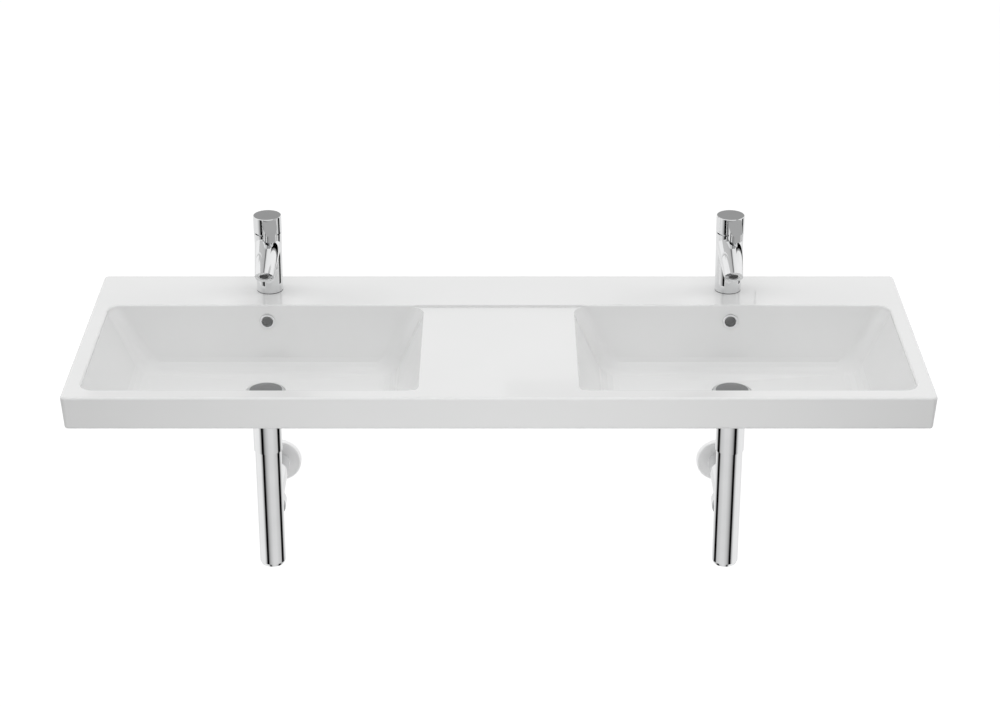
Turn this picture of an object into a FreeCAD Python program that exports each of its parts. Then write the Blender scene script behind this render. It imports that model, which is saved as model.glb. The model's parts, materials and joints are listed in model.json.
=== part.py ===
import FreeCAD, Part
import math
import os
import Sketcher
from FreeCAD import Placement, Rotation, Vector

# A double washbasin that hangs on a wall, with two mixer taps, two wastes and two bottle traps.
# Millimetres. X runs to the right, Y into the wall and Z up. The wall is the plane Y = 0,
# and the origin is on it, in the middle of the line of fixing holes.

DRIVING_SIZES = {
    # ceramic slab
    "basin_width": 1300,
    "basin_depth": 465,
    "deck_rise": 75,
    "deck_wall": 14,
    "apron_height": 54,
    "apron_wall": 14,
    "apron_draft": 4,
    "slab_corner": 8,
    "slab_edge_round": 3.5,
    "apron_foot_round": 5,
    # plate against the wall, and its fixing holes
    "back_plate_height": 152,
    "back_plate_wall": 16,
    "back_plate_inset": 12,
    "outer_fixing_spacing": 1030,
    "inner_fixing_spacing": 470,
    "fixing_hole": 14,
    # bowls
    "bowl_spacing": 745,
    "bowl_width": 505,
    "front_rim": 28,
    "back_ledge": 122,
    "bowl_corner": 22,
    "bowl_edge_round": 3,
    "mouth_depth": 6,
    "floor_drop": 111,
    "floor_side_run": 50,
    "floor_front_run": 152,
    "floor_back_run": 3,
    "floor_corner": 32,
    "floor_bend_height": 20,
    "floor_bend_reach": 22,
    "bowl_wall": 12,
    "shelf_drop": 4,
    # drain in each bowl
    "drain_setback": 195,
    "drain_drop": 118,
    "dish_foot": 34,
    "dish_corner": 30,
    "drain_hole": 46,
    "drain_boss": 78,
    "drain_boss_depth": 28,
    # overflow
    "overflow_drop": 28,
    "overflow_hole": 21,
    "overflow_duct_width": 50,
    "overflow_duct_depth": 17,
    "overflow_duct_wall": 7,
    "overflow_cover_radius": 12.5,
    "overflow_cover_bore": 9.2,
    "overflow_cover_lip": 1.6,
    "overflow_cover_length": 9,
    # hole for a tap
    "tap_setback": 57,
    "tap_hole": 35,
    # tap body
    "tap_foot_radius": 21,
    "tap_shoulder_radius": 22.2,
    "tap_shoulder_height": 99.5,
    "tap_seal_wall": 1,
    "tap_neck_radius": 18.4,
    "tap_neck_height": 12,
    "cartridge_radius": 14.5,
    "cartridge_depth": 58,
    "cartridge_flange": 2.4,
    "spout_root_radius": 21.9,
    "spout_radius": 15,
    "spout_reach": 87,
    "spout_end_height": 57,
    "spout_fall": 15,
    "spout_end_tilt": 41,
    "aerator_radius": 9.2,
    "aerator_depth": 8,
    "aerator_wall": 1.6,
    "aerator_setback": 0.8,
    "water_way": 8,
    "inlet_thread": 10,
    "inlet_depth": 14,
    "inlet_offset": 8.5,
    "inlet_forward": 5,
    "inlet_way": 7,
    "stud_thread": 8,
    "stud_length": 62,
    "stud_bite": 12,
    "stud_offset": 9,
    "clamp_plate_radius": 24,
    "clamp_plate_wall": 3,
    "clamp_pad_wall": 2.5,
    "clamp_mouth": 28,
    "nut_across_flats": 13,
    "nut_height": 8,
    # turning stem and push cap of a tap
    "stem_radius": 5,
    "stem_length": 30,
    "stem_disc_radius": 10.5,
    "stem_disc_wall": 2.4,
    "stem_post_radius": 4,
    "cap_radius": 22.6,
    "cap_height": 26.7,
    "cap_wall": 2.6,
    "cap_top_wall": 4,
    "cap_edge_round": 0.8,
    "cap_gap": 2.4,
    "cap_travel": 2,
    "cap_hub_radius": 7,
    "lever_width": 22,
    "lever_reach": 35,
    "lever_tip_height": 10,
    "lever_top_drop": 2.4,
    "lever_bite": 1.6,
    "lever_corner": 9,
    "lever_turn": 14,
    "spring_radius": 8.6,
    "spring_wire": 1.2,
    # waste
    "flange_radius": 31.5,
    "flange_wall": 2.6,
    "waste_radius": 20.7,
    "waste_wall": 2.7,
    "waste_length": 74,
    "waste_mouth_radius": 21.5,
    "waste_mouth_depth": 4,
    "waste_slot_height": 9,
    "waste_bridge_height": 5,
    "waste_bridge_width": 5,
    "waste_hub_radius": 8,
    "waste_nut_across": 56,
    "waste_nut_height": 9,
    "waste_seal_wall": 3,
    "plug_radius": 26,
    "plug_wall": 3.2,
    "plug_crown": 1.2,
    "plug_seal_radius": 19.4,
    "plug_seal_wall": 2.4,
    "plug_barrel_radius": 5,
    "plug_barrel_length": 36,
    # bottle trap
    "trap_head_radius": 23,
    "trap_head_length": 60,
    "trap_head_drop": 221,
    "trap_tube_radius": 21.2,
    "trap_tube_wall": 1.6,
    "trap_tube_lap": 20,
    "trap_drop": 431,
    "trap_cap_height": 16,
    "trap_cap_round": 7,
    "trap_cap_plug": 12,
    "dip_tube_radius": 15.5,
    "dip_tube_wall": 1.2,
    "dip_tube_drop": 392,
    "dip_flange_wall": 2.5,
    "washer_wall": 2.5,
    "outlet_drop": 339,
    "outlet_radius": 16,
    "outlet_wall": 1.2,
    "outlet_socket_radius": 18.5,
    "outlet_socket_length": 20,
    "outlet_nut_radius": 22,
    "outlet_nut_length": 22,
    "outlet_past_wall": 40,
    "outlet_spigot_radius": 15.75,
    "outlet_spigot_length": 39,
    "rosette_radius": 35.5,
    "rosette_depth": 12,
    "rosette_wall": 1.6,
    "rosette_round": 2.5,
    # clearances and the overrun of cuts
    "running_gap": 0.3,
    "fit_gap": 0.15,
    "shaft_gap": 0.08,
    "cut_overrun": 2,
}


class Size:
    """A length or angle with its value and the sheet formula that gives it."""

    def __init__(self, value, formula):
        self.value = float(value)
        self.formula = formula

    def joined(self, other, sign, value):
        return Size(value, f"({self.formula} {sign} {other.formula})")

    def __add__(self, other):
        other = as_size(other)
        return self.joined(other, "+", self.value + other.value)

    def __sub__(self, other):
        other = as_size(other)
        return self.joined(other, "-", self.value - other.value)

    def __mul__(self, other):
        other = as_size(other)
        return self.joined(other, "*", self.value * other.value)

    def __rmul__(self, other):
        return self * other

    def __truediv__(self, other):
        other = as_size(other)
        return self.joined(other, "/", self.value / other.value)

    def __neg__(self):
        return Size(-self.value, f"(-{self.formula})")


def as_size(number):
    """A plain number as a size, so that the two mix in a sum."""
    return number if isinstance(number, Size) else Size(number, str(number))


def cosine(angle):
    return Size(math.cos(math.radians(angle.value)), f"cos({angle.formula} * 1deg)")


def sine(angle):
    return Size(math.sin(math.radians(angle.value)), f"sin({angle.formula} * 1deg)")


def tangent(angle):
    return Size(math.tan(math.radians(angle.value)), f"tan({angle.formula} * 1deg)")


ZERO = Size(0, "0")

doc = FreeCAD.newDocument("DoubleWashbasin")
sheet = doc.addObject("Spreadsheet::Sheet", "Sizes")
for row, (name, value) in enumerate(DRIVING_SIZES.items(), start=1):
    sheet.set(f"A{row}", name)
    sheet.set(f"B{row}", str(value))
    sheet.setAlias(f"B{row}", name)
doc.recompute()


class SheetSizes:
    """Gives each driving size of the sheet by its name."""

    def __getattr__(self, name):
        return Size(DRIVING_SIZES[name], f"Sizes.{name}")


at = SheetSizes()


def bind(thing, **sizes):
    """Ties properties of a document object to sheet formulas."""
    for name, size in sizes.items():
        thing.setExpression(name.replace("__", "."), size.formula)


def place(thing, x=ZERO, y=ZERO, z=ZERO, rotation=Rotation()):
    """Puts an object at a bound place, turned by a fixed rotation."""
    thing.Placement = Placement(Vector(x.value, y.value, z.value), rotation)
    bind(thing, Placement__Base__x=x, Placement__Base__y=y, Placement__Base__z=z)


UPRIGHT = Rotation()
TO_WALL = Rotation(Vector(1, 0, 0), -90)


# Sketches

def origin_plane(body, role):
    return next(item for item in body.Origin.OriginFeatures if item.Role == role)


def new_sketch(body, name, plane="XY_Plane", offset=ZERO):
    """A sketch on one of the body's own origin planes, lifted along the plane's normal."""
    sketch = body.newObject("Sketcher::SketchObject", name)
    sketch.AttachmentSupport = [(origin_plane(body, plane), "")]
    sketch.MapMode = "FlatFace"
    sketch.AttachmentOffset = Placement(Vector(0, 0, offset.value), Rotation())
    sketch.setExpression("AttachmentOffset.Base.z", offset.formula)
    return sketch


def tie_point(sketch, edge, end, across, up):
    """Fixes one end of a sketch edge at bound coordinates."""
    for kind, axis, size in (("DistanceX", -2, across), ("DistanceY", -1, up)):
        if size is ZERO:
            sketch.addConstraint(Sketcher.Constraint("PointOnObject", edge, end, axis))
        else:
            index = sketch.addConstraint(Sketcher.Constraint(kind, -1, 1, edge, end, size.value))
            sketch.setExpression(f"Constraints[{index}]", size.formula)


def draw_polygon(sketch, corners):
    """A closed outline of straight edges through corners given as pairs of sizes."""
    count = len(corners)
    for index, (across, up) in enumerate(corners):
        next_across, next_up = corners[(index + 1) % count]
        start = Vector(across.value, up.value, 0)
        end = Vector(next_across.value, next_up.value, 0)
        sketch.addGeometry(Part.LineSegment(start, end), False)
    for index in range(count):
        sketch.addConstraint(Sketcher.Constraint("Coincident", index, 2, (index + 1) % count, 1))
    for index, (across, up) in enumerate(corners):
        tie_point(sketch, index, 1, across, up)


def draw_rounded_rectangle(sketch, left, right, front, back, radius):
    """A rectangle with four equal round corners."""
    low_x, high_x = left.value, right.value
    low_y, high_y = front.value, back.value
    r = radius.value
    corner_centres = [
        (high_x - r, low_y + r, -90),
        (high_x - r, high_y - r, 0),
        (low_x + r, high_y - r, 90),
        (low_x + r, low_y + r, 180),
    ]
    sides = [
        ((low_x + r, low_y), (high_x - r, low_y)),
        ((high_x, low_y + r), (high_x, high_y - r)),
        ((high_x - r, high_y), (low_x + r, high_y)),
        ((low_x, high_y - r), (low_x, low_y + r)),
    ]
    for (start, end), (x, y, angle) in zip(sides, corner_centres):
        sketch.addGeometry(Part.LineSegment(Vector(*start, 0), Vector(*end, 0)), False)
        circle = Part.Circle(Vector(x, y, 0), Vector(0, 0, 1), r)
        begin = math.radians(angle)
        sketch.addGeometry(Part.ArcOfCircle(circle, begin, begin + math.pi / 2), False)
    for side in range(4):
        line, arc, following = 2 * side, 2 * side + 1, (2 * side + 2) % 8
        sketch.addConstraint(Sketcher.Constraint("Tangent", line, 2, arc, 1))
        sketch.addConstraint(Sketcher.Constraint("Tangent", arc, 2, following, 1))
        index = sketch.addConstraint(Sketcher.Constraint("Radius", arc, r))
        sketch.setExpression(f"Constraints[{index}]", radius.formula)
    for line, kind in ((0, "Horizontal"), (2, "Vertical"), (4, "Horizontal"), (6, "Vertical")):
        sketch.addConstraint(Sketcher.Constraint(kind, line))
    edges = (("DistanceY", 0, front), ("DistanceX", 2, right), ("DistanceY", 4, back), ("DistanceX", 6, left))
    for kind, line, size in edges:
        if size is ZERO:
            axis = -1 if kind == "DistanceY" else -2
            sketch.addConstraint(Sketcher.Constraint("PointOnObject", line, 1, axis))
        else:
            index = sketch.addConstraint(Sketcher.Constraint(kind, -1, 1, line, 1, size.value))
            sketch.setExpression(f"Constraints[{index}]", size.formula)


# Features of a body

def new_body(label, x=ZERO, y=ZERO, z=ZERO, rotation=UPRIGHT):
    body = doc.addObject("PartDesign::Body", label)
    body.Label = label
    place(body, x, y, z, rotation)
    return body


def turn_profile(body, kind, name, corners):
    """Turns a half profile of (radius, height) corners about the body's own Z axis."""
    sketch = new_sketch(body, name + "Profile", "XZ_Plane")
    draw_polygon(sketch, corners)
    feature = body.newObject("PartDesign::" + kind, name)
    feature.Profile = sketch
    feature.ReferenceAxis = (sketch, ["V_Axis"])
    feature.Angle = 360
    body.Tip = feature
    return feature


def turned_body(label, corners, x=ZERO, y=ZERO, z=ZERO, rotation=UPRIGHT):
    """A round piece made by one revolution."""
    body = new_body(label, x, y, z, rotation)
    turn_profile(body, "Revolution", "Turning", corners)
    return body


def ring_corners(inner, outer, low, high):
    """The half profile of a plain ring."""
    return [(inner, low), (outer, low), (outer, high), (inner, high)]


def disc_corners(outer, low, high):
    return ring_corners(ZERO, outer, low, high)


HALF_CORNER = Size(45, "45")


def round_corner(radius, height, turn):
    """Three corners that follow a rim rounded below."""
    inward = turn - turn * sine(HALF_CORNER)
    return [
        (radius - turn, height),
        (radius - inward, height + inward),
        (radius, height + turn),
    ]


def add_box(body, kind, name, x_span, y_span, z_span):
    """A box feature between bound planes; kind is Additive or Subtractive."""
    feature = body.newObject(f"PartDesign::{kind}Box", name)
    place(feature, x_span[0], y_span[0], z_span[0])
    bind(
        feature,
        Length=x_span[1] - x_span[0],
        Width=y_span[1] - y_span[0],
        Height=z_span[1] - z_span[0],
    )
    body.Tip = feature
    return feature


def add_cylinder(body, kind, name, x, y, z, radius, length, rotation=UPRIGHT):
    """A round feature from a bound point along the rotated Z axis."""
    feature = body.newObject(f"PartDesign::{kind}Cylinder", name)
    place(feature, x, y, z, rotation)
    bind(feature, Radius=radius, Height=length)
    body.Tip = feature
    return feature


def extrude(body, kind, name, height, outline, length):
    """A straight Pad up, or Pocket down, from a rounded rectangle at a height."""
    sketch = new_sketch(body, f"{name}Outline", "XY_Plane", height)
    draw_rounded_rectangle(sketch, *outline)
    feature = body.newObject(f"PartDesign::{kind}", name)
    feature.Profile = sketch
    bind(feature, Length=length)
    body.Tip = feature
    return feature


def loft(body, kind, name, sections):
    """A ruled loft through rounded rectangles, each with its height and its five sizes."""
    sketches = []
    for number, (height, outline) in enumerate(sections, start=1):
        sketch = new_sketch(body, f"{name}Section{number}", "XY_Plane", height)
        draw_rounded_rectangle(sketch, *outline)
        sketches.append(sketch)
    feature = body.newObject(f"PartDesign::{kind}Loft", name)
    feature.Profile = sketches[0]
    feature.Sections = sketches[1:]
    feature.Ruled = True
    body.Tip = feature
    return feature


def round_edges(body, name, radius, wanted):
    """Fillets the edges of the body's tip that a test picks out."""
    doc.recompute()
    base = body.Tip
    names = [f"Edge{i}" for i, edge in enumerate(base.Shape.Edges, start=1) if wanted(edge)]
    feature = body.newObject("PartDesign::Fillet", name)
    feature.Base = (base, names)
    bind(feature, Radius=radius)
    body.Tip = feature
    return feature


def all_points(edge, test):
    """Whether a test holds at both ends and the middle of an edge."""
    middle = edge.valueAt((edge.FirstParameter + edge.LastParameter) / 2)
    return all(test(point) for point in [vertex.Point for vertex in edge.Vertexes] + [middle])


NEAR = 0.02


def near(value, size):
    return abs(value - size.value) < NEAR


def level_with(edge, height):
    return all_points(edge, lambda point: near(point.z, height))


def mirrored_copy(source, label):
    """The piece of the other side of the basin, mirrored in the plane X = 0."""
    copy = doc.addObject("Part::Mirroring", label)
    copy.Label = label
    copy.Source = source
    copy.Normal = Vector(1, 0, 0)
    copy.Base = Vector(0, 0, 0)
    return copy


def both_sides(label, source):
    """One node that holds a left piece and its mirrored copy as two solids."""
    copy = mirrored_copy(source, label + "_mirrored")
    group = doc.addObject("Part::Compound", label)
    group.Label = label
    group.Links = [source, copy]
    return group


# Places that several pieces share

bowl_x = -at.bowl_spacing / 2
deck = at.deck_rise
deck_bottom = deck - at.deck_wall
slab_front = -at.basin_depth
slab_right = at.basin_width / 2
bowl_left = -at.bowl_width / 2
bowl_right = at.bowl_width / 2
bowl_front = slab_front + at.front_rim
bowl_back = -at.back_ledge
drain_y = -at.drain_setback
drain_top = deck - at.drain_drop
boss_bottom = drain_top - at.drain_boss_depth
tap_y = -at.tap_setback
floor_top = deck - at.floor_drop
mouth_bottom = deck - at.mouth_depth
back_wall_outside = bowl_back + at.bowl_wall
duct_back = back_wall_outside + at.overflow_duct_depth
overflow_z = deck - at.overflow_drop
back_plate_bottom = deck - at.back_plate_height


# Ceramic basin

def make_basin():
    body = new_body("basin")
    half_foot = slab_right - at.apron_draft
    front_foot = slab_front + at.apron_draft
    foot = deck - at.apron_height
    outline = (-slab_right, slab_right, slab_front, ZERO, at.slab_corner)
    slab = extrude(body, "Pad", "Slab", foot, outline, at.apron_height)
    doc.recompute()
    leaning = []
    for number, face in enumerate(slab.Shape.Faces, start=1):
        if near(face.BoundBox.ZMax, deck) and near(face.BoundBox.ZMin, deck):
            top_face = f"Face{number}"
        elif face.BoundBox.ZLength > NEAR and face.BoundBox.YMax < -NEAR:
            leaning.append(f"Face{number}")
    draft = body.newObject("PartDesign::Draft", "ApronDraft")
    draft.Base = (slab, leaning)
    draft.NeutralPlane = (slab, [top_face])
    draft.Reversed = True
    draft.setExpression("Angle", f"atan({at.apron_draft.formula} / {at.apron_height.formula})")
    body.Tip = draft
    round_edges(body, "SlabTopRound", at.slab_edge_round, lambda edge: level_with(edge, deck))
    round_edges(body, "SlabFootRound", at.apron_foot_round, lambda edge: level_with(edge, foot))

    hollow_x = half_foot - at.apron_wall
    hollow_front = front_foot + at.apron_wall
    hollow = (-hollow_x, hollow_x, hollow_front, -at.back_plate_wall, at.slab_corner)
    below = foot - at.cut_overrun
    loft(body, "Subtractive", "Hollow", [(deck_bottom, hollow), (below, hollow)])

    plate_x = slab_right - at.back_plate_inset
    add_box(
        body, "Additive", "BackPlate",
        (-plate_x, plate_x), (-at.back_plate_wall, ZERO), (back_plate_bottom, deck_bottom),
    )

    for side, centre in (("Left", bowl_x), ("Right", -bowl_x)):
        make_bowl_shell(body, side, centre)
    for side, centre in (("Left", bowl_x), ("Right", -bowl_x)):
        cut_bowl(body, side, centre)

    def on_mouth(point):
        return near(point.z, deck) and abs(point.y - middle_y) < half_mouth

    middle_y = (bowl_front.value + bowl_back.value) / 2
    half_mouth = (bowl_back.value - bowl_front.value) / 2 + NEAR
    round_edges(body, "MouthRound", at.bowl_edge_round, lambda edge: all_points(edge, on_mouth))
    for side, centre in (("Left", bowl_x), ("Right", -bowl_x)):
        cut_openings(body, side, centre)
    shelf_x = centre_gap() / 2 + at.bowl_corner
    add_box(
        body, "Subtractive", "Shelf", (-shelf_x, shelf_x), (bowl_front, bowl_back),
        (deck - at.shelf_drop, deck + at.cut_overrun),
    )
    for number, spacing in enumerate((at.outer_fixing_spacing, at.inner_fixing_spacing), start=1):
        for side, x in (("Left", -spacing / 2), ("Right", spacing / 2)):
            add_cylinder(
                body, "Subtractive", f"FixingHole{side}{number}",
                x, -at.back_plate_wall - at.cut_overrun, ZERO,
                at.fixing_hole / 2, at.back_plate_wall + at.cut_overrun * 2, TO_WALL,
            )
    return body


def centre_gap():
    """The width of the deck between the two bowls."""
    return at.bowl_spacing - at.bowl_width


def bowl_outline(centre, grown_by):
    """The outline of a bowl's mouth, or of its outside where it is grown by a wall."""
    return (
        centre + bowl_left - grown_by,
        centre + bowl_right + grown_by,
        bowl_front - grown_by,
        bowl_back + grown_by,
        at.bowl_corner + grown_by,
    )


def floor_outline(centre, grown_by):
    return (
        centre + bowl_left + at.floor_side_run - grown_by,
        centre + bowl_right - at.floor_side_run + grown_by,
        bowl_front + at.floor_front_run - grown_by,
        bowl_back - at.floor_back_run + grown_by,
        at.floor_corner + grown_by,
    )


def make_bowl_shell(body, side, centre):
    """The outside of a bowl, its drain boss and the duct behind it."""
    shell_bottom = drain_top - at.bowl_wall
    top = deck - at.deck_wall / 2
    wall = at.bowl_wall
    sections = [(top, bowl_outline(centre, wall)), (shell_bottom, floor_outline(centre, wall))]
    loft(body, "Additive", f"{side}Shell", sections)
    add_cylinder(
        body, "Additive", f"{side}DrainBoss",
        centre, drain_y, boss_bottom, at.drain_boss / 2, at.drain_boss_depth,
    )
    half_duct = at.overflow_duct_width / 2
    duct_x = (centre - half_duct, centre + half_duct)
    add_box(
        body, "Additive", f"{side}DuctUpright",
        duct_x, (bowl_back - at.floor_back_run, duct_back), (boss_bottom, deck - at.deck_wall / 2),
    )
    add_box(
        body, "Additive", f"{side}DuctFoot",
        duct_x, (drain_y, duct_back), (boss_bottom, drain_top - at.bowl_wall / 2),
    )


# How far in and down each line of the floor's bend lies, as steps of a quarter ellipse
FLOOR_BEND_SHARES = ((0, 0), (0.076, 0.383), (0.293, 0.707), (0.617, 0.924), (1, 1))


def wall_outline(centre, height, inset):
    """The outline of a bowl's sloping walls at a height, moved inward."""
    share = (mouth_bottom - height) / (mouth_bottom - floor_top)
    mouth = bowl_outline(centre, -inset)
    floor = floor_outline(centre, -inset)
    return tuple(first + (last - first) * share for first, last in zip(mouth, floor))


def cut_bowl(body, side, centre):
    """The inside of a bowl: an upright mouth, sloping walls bending into the floor, and its fall to the drain."""
    outline = bowl_outline(centre, ZERO)
    extrude(body, "Pocket", f"{side}Mouth", deck, outline, at.mouth_depth)
    bend_top = floor_top + at.floor_bend_height
    sections = [(mouth_bottom, outline)]
    for in_share, down_share in FLOOR_BEND_SHARES:
        height = bend_top - at.floor_bend_height * down_share
        sections.append((height, wall_outline(centre, height, at.floor_bend_reach * in_share)))
    loft(body, "Subtractive", f"{side}Bowl", sections)

    near_y = drain_y - at.dish_foot
    far_y = drain_y + at.dish_foot
    foot = (centre - at.dish_foot, centre + at.dish_foot, near_y, far_y, at.dish_corner)
    loft(body, "Subtractive", f"{side}Dish", [sections[-1], (drain_top, foot)])


def cut_openings(body, side, centre):
    """The drain, overflow way and tap hole of one bowl."""
    add_cylinder(
        body, "Subtractive", f"{side}FlangeSeat",
        centre, drain_y, drain_top - at.flange_wall - at.waste_seal_wall / 2,
        at.flange_radius + at.running_gap, at.drain_boss_depth,
    )
    add_cylinder(
        body, "Subtractive", f"{side}DrainHole",
        centre, drain_y, boss_bottom - at.cut_overrun,
        at.drain_hole / 2, at.drain_boss_depth,
    )

    half_way = at.overflow_duct_width / 2 - at.overflow_duct_wall
    way_x = (centre - half_way, centre + half_way)
    way_bottom = boss_bottom + at.overflow_duct_wall
    way_back = duct_back - at.overflow_duct_wall
    way_top = overflow_z + at.overflow_hole / 2
    way_y = (back_wall_outside, way_back)
    add_box(body, "Subtractive", f"{side}WayDown", way_x, way_y, (way_bottom, way_top))
    foot_way_top = way_bottom + at.waste_slot_height
    add_box(body, "Subtractive", f"{side}WayAlong", way_x, (drain_y, way_back), (way_bottom, foot_way_top))
    add_cylinder(
        body, "Subtractive", f"{side}OverflowHole",
        centre, bowl_back - at.floor_back_run - at.cut_overrun, overflow_z,
        at.overflow_hole / 2, at.bowl_wall + at.floor_back_run + at.cut_overrun * 2, TO_WALL,
    )
    add_cylinder(
        body, "Subtractive", f"{side}TapHole",
        centre, tap_y, deck_bottom - at.cut_overrun,
        at.tap_hole / 2, at.deck_wall + at.cut_overrun * 2,
    )


# Taps: each is modelled upright on its own foot, at the left tap hole

tap_foot = deck + at.tap_seal_wall
neck_top = at.tap_shoulder_height + at.tap_neck_height
cap_bottom = at.tap_shoulder_height + at.cap_gap
cap_ceiling = cap_bottom + at.cap_height - at.cap_top_wall
cartridge_top = neck_top + at.cartridge_flange
stem_disc_bottom = cartridge_top + at.running_gap
stem_disc_top = stem_disc_bottom + at.stem_disc_wall
spout_root_height = at.spout_end_height + at.spout_reach * tangent(at.spout_fall)
spout_length = at.spout_reach / cosine(at.spout_fall)


def spout_top(reach):
    """The height of the spout's highest line at a distance in front of the tap's axis."""
    across = sine(at.spout_fall)
    up = cosine(at.spout_fall)
    root_reach = at.spout_root_radius * across
    root_top = spout_root_height + at.spout_root_radius * up
    end_reach = at.spout_reach + at.spout_radius * across
    end_top = at.spout_end_height + at.spout_radius * up
    return root_top - (reach - root_reach) * (root_top - end_top) / (end_reach - root_reach)


def lean(thing, angle):
    """Tips an object's Z axis forward, from upright past level by a bound angle."""
    thing.Placement.Rotation = Rotation(Vector(1, 0, 0), 90 + angle.value)
    thing.setExpression("Placement.Rotation.Angle", f"(90 + {angle.formula}) * 1deg")


def tap_piece(label, corners):
    return turned_body(label, corners, bowl_x, tap_y, tap_foot)


def make_tap_body():
    """The cast column with its spout, water ways and threaded sockets."""
    body = new_body("left_tap_body", bowl_x, tap_y, tap_foot)
    column = [
        (ZERO, ZERO),
        (at.tap_foot_radius, ZERO),
        (at.tap_shoulder_radius, at.tap_shoulder_height),
        (at.tap_neck_radius, at.tap_shoulder_height),
        (at.tap_neck_radius, neck_top),
        (ZERO, neck_top),
    ]
    turn_profile(body, "Revolution", "Column", column)
    spout = body.newObject("PartDesign::AdditiveCone", "Spout")
    place(spout, ZERO, ZERO, spout_root_height)
    lean(spout, at.spout_fall)
    # the cone runs past the end cut with the same taper
    past_end = at.spout_radius
    narrowing = (at.spout_root_radius - at.spout_radius) / spout_length
    bind(
        spout,
        Radius1=at.spout_root_radius,
        Radius2=at.spout_radius - narrowing * past_end,
        Height=spout_length + past_end,
    )
    body.Tip = spout
    facing = [
        (at.tap_neck_radius, at.tap_shoulder_height),
        (at.tap_shoulder_radius + at.cut_overrun, at.tap_shoulder_height),
        (at.tap_shoulder_radius + at.cut_overrun, neck_top),
        (at.tap_neck_radius, neck_top),
    ]
    turn_profile(body, "Groove", "ShoulderFacing", facing)
    end_cut = add_cylinder(
        body, "Subtractive", "SpoutEnd", ZERO, -at.spout_reach, at.spout_end_height,
        at.spout_radius * 2, at.spout_radius * 2,
    )
    lean(end_cut, at.spout_end_tilt)
    pocket_depth = at.aerator_depth + at.aerator_setback
    pocket = add_cylinder(
        body, "Subtractive", "AeratorPocket",
        ZERO,
        -at.spout_reach + pocket_depth * cosine(at.spout_end_tilt),
        at.spout_end_height + pocket_depth * sine(at.spout_end_tilt),
        at.aerator_radius + at.fit_gap, pocket_depth + at.cut_overrun,
    )
    lean(pocket, at.spout_end_tilt)
    way = add_cylinder(
        body, "Subtractive", "WaterWay", ZERO, ZERO, spout_root_height,
        at.water_way / 2, spout_length,
    )
    lean(way, at.spout_fall)
    bore_bottom = neck_top - at.cartridge_depth
    add_cylinder(
        body, "Subtractive", "CartridgeBore", ZERO, ZERO, bore_bottom,
        at.cartridge_radius + at.fit_gap, at.cartridge_depth + at.cut_overrun,
    )
    for side, x in (("Left", -at.inlet_offset), ("Right", at.inlet_offset)):
        y = -at.inlet_forward
        add_cylinder(
            body, "Subtractive", f"{side}Inlet", x, y, -at.cut_overrun,
            at.inlet_thread / 2, at.inlet_depth + at.cut_overrun,
        )
        add_cylinder(
            body, "Subtractive", f"{side}InletWay", x, y, ZERO,
            at.inlet_way / 2, bore_bottom + at.cut_overrun,
        )
    add_cylinder(
        body, "Subtractive", "StudHole", ZERO, at.stud_offset, -at.cut_overrun,
        at.stud_thread / 2, at.stud_bite + at.cut_overrun,
    )
    return body


def make_tap_cap(label, x):
    """The cap that is pressed down for water and turned by its lever for warmth."""
    body = new_body(label, x, tap_y, tap_foot + cap_bottom)
    body.Placement.Rotation = Rotation(Vector(0, 0, 1), at.lever_turn.value)
    body.setExpression("Placement.Rotation.Angle", f"{at.lever_turn.formula} * 1deg")
    ceiling = at.cap_height - at.cap_top_wall
    skirt = at.cap_radius - at.cap_wall
    hub_bottom = stem_disc_top + at.cap_travel + at.running_gap - cap_bottom
    bore = at.stem_post_radius + at.shaft_gap
    corners = [
        (ZERO, at.cap_height),
        (ZERO, ceiling),
        (bore, ceiling),
        (bore, hub_bottom),
        (at.cap_hub_radius, hub_bottom),
        (at.cap_hub_radius, ceiling),
        (skirt, ceiling),
        (skirt, ZERO),
        (at.cap_radius, ZERO),
        (at.cap_radius, at.cap_height - at.cap_edge_round),
        (at.cap_radius - at.cap_edge_round, at.cap_height),
    ]
    turn_profile(body, "Revolution", "Cap", corners)

    clearance = at.running_gap * 2
    root = at.cap_radius - at.lever_bite
    inner = at.tap_shoulder_radius + clearance
    tip = at.lever_reach
    # the lever's underside follows the spout's highest line, above it by the cap's travel
    above_spout = at.cap_travel + clearance - cap_bottom
    inner_bottom = spout_top(inner) + above_spout
    tip_bottom = spout_top(tip) + above_spout
    side = [
        (-root, at.cap_height - at.lever_top_drop),
        (-root, ZERO),
        (-inner, ZERO),
        (-inner, inner_bottom),
        (-tip, tip_bottom),
        (-tip, tip_bottom + at.lever_tip_height),
    ]
    sketch = new_sketch(body, "LeverProfile", "YZ_Plane")
    draw_polygon(sketch, side)
    lever = body.newObject("PartDesign::Pad", "Lever")
    lever.Profile = sketch
    lever.Midplane = True
    bind(lever, Length=at.lever_width)
    body.Tip = lever
    half_width = at.lever_width / 2

    def at_tip_side(edge):
        return all_points(edge, lambda p: near(p.y, -tip) and near(abs(p.x), half_width))

    round_edges(body, "LeverRound", at.lever_corner, at_tip_side)
    return body


def make_clamp(label, top, wall):
    """A horseshoe that grips under the deck, open to the front for the supply pipes."""
    body = new_body(label, bowl_x, tap_y, top - wall)
    turn_profile(body, "Revolution", "Disc", disc_corners(at.clamp_plate_radius, ZERO, wall))
    half_mouth = at.clamp_mouth / 2
    add_box(
        body, "Subtractive", "Mouth",
        (-half_mouth, half_mouth), (-at.clamp_plate_radius - at.cut_overrun, ZERO),
        (-at.cut_overrun, wall + at.cut_overrun),
    )
    add_cylinder(
        body, "Subtractive", "StudHole", ZERO, at.stud_offset, -at.cut_overrun,
        at.stud_thread / 2 + at.fit_gap, wall + at.cut_overrun * 2,
    )
    return body


NUT_SIDES = 6
NUT_HALF_SIDE = Size(180 / NUT_SIDES, f"180 / {NUT_SIDES}")


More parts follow.
